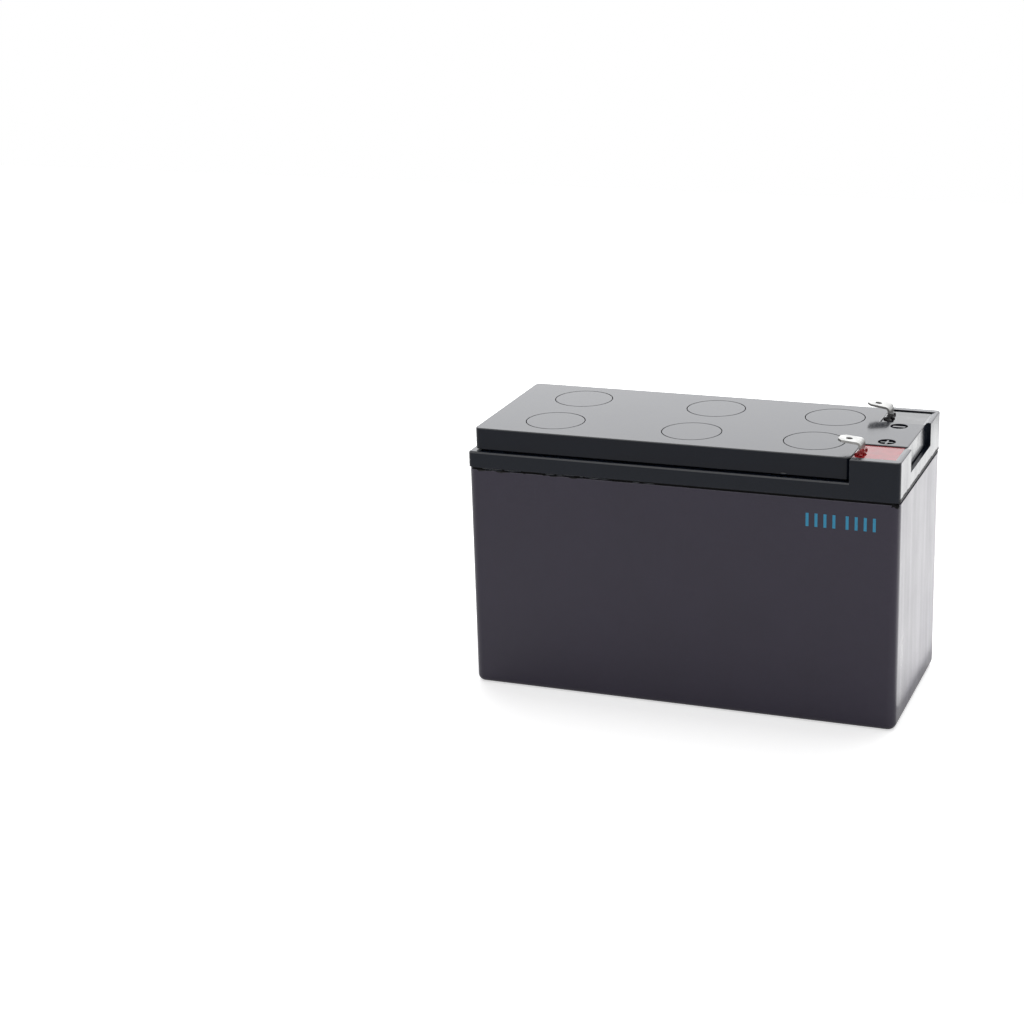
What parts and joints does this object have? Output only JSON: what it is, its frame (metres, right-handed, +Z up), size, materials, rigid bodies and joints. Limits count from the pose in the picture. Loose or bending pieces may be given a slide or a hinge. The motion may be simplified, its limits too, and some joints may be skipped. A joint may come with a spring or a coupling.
{
  "type": "sealed lead-acid battery",
  "caption": "Sealed lead-acid battery of a UPS cartridge: plain upright case, stepped lid with an inset cover and round vent discs, bent spade tabs in terminal wells at one end.",
  "frame": {"origin": "centre of the case's base", "axes": "+X along the case towards the terminals, +Y across it towards the negative terminal, +Z up"},
  "size_m": [0.151, 0.065, 0.0987],
  "materials": {
    "case_plastic": "dark grey moulded plastic, fine satin grain",
    "lid_plastic": "near-black moulded plastic, satin",
    "cover_plastic": "near-black moulded plastic, satin with fine grain",
    "joint_resin": "black cast resin",
    "red_resin": "red cast resin, glossy",
    "black_resin": "black cast resin, glossy",
    "tinned_metal": "bright tin plating",
    "lead": "dull cast lead",
    "positive_paste": "dark brown pasted plate",
    "negative_paste": "grey pasted plate",
    "glass_mat": "white glass fibre mat",
    "valve_rubber": "black soft rubber"
  },
  "bodies": {
    "root": {"container": "case_plastic", "joint_sealant": "joint_resin", "lid": "lid_plastic", "top_cover": "cover_plastic", "positive_tab": "tinned_metal", "negative_tab": "tinned_metal", "positive_post": "lead", "negative_post": "lead", "positive_potting": "red_resin", "negative_potting": "black_resin", "vent_disc_1": "cover_plastic", "valve_cap_1": "valve_rubber", "cell_1_positive_plates": "positive_paste", "cell_1_negative_plates": "negative_paste", "cell_1_separators": "glass_mat", "vent_disc_2": "cover_plastic", "valve_cap_2": "valve_rubber", "cell_2_positive_plates": "positive_paste", "cell_2_negative_plates": "negative_paste", "cell_2_separators": "glass_mat", "vent_disc_3": "cover_plastic", "valve_cap_3": "valve_rubber", "cell_3_positive_plates": "positive_paste", "cell_3_negative_plates": "negative_paste", "cell_3_separators": "glass_mat", "vent_disc_4": "cover_plastic", "valve_cap_4": "valve_rubber", "cell_4_positive_plates": "positive_paste", "cell_4_negative_plates": "negative_paste", "cell_4_separators": "glass_mat", "vent_disc_5": "cover_plastic", "valve_cap_5": "valve_rubber", "cell_5_positive_plates": "positive_paste", "cell_5_negative_plates": "negative_paste", "cell_5_separators": "glass_mat", "vent_disc_6": "cover_plastic", "valve_cap_6": "valve_rubber", "cell_6_positive_plates": "positive_paste", "cell_6_negative_plates": "negative_paste", "cell_6_separators": "glass_mat", "intercell_link_1": "lead", "intercell_link_2": "lead", "intercell_link_3": "lead", "intercell_link_4": "lead", "intercell_link_5": "lead"}
  },
  "joints": []
}
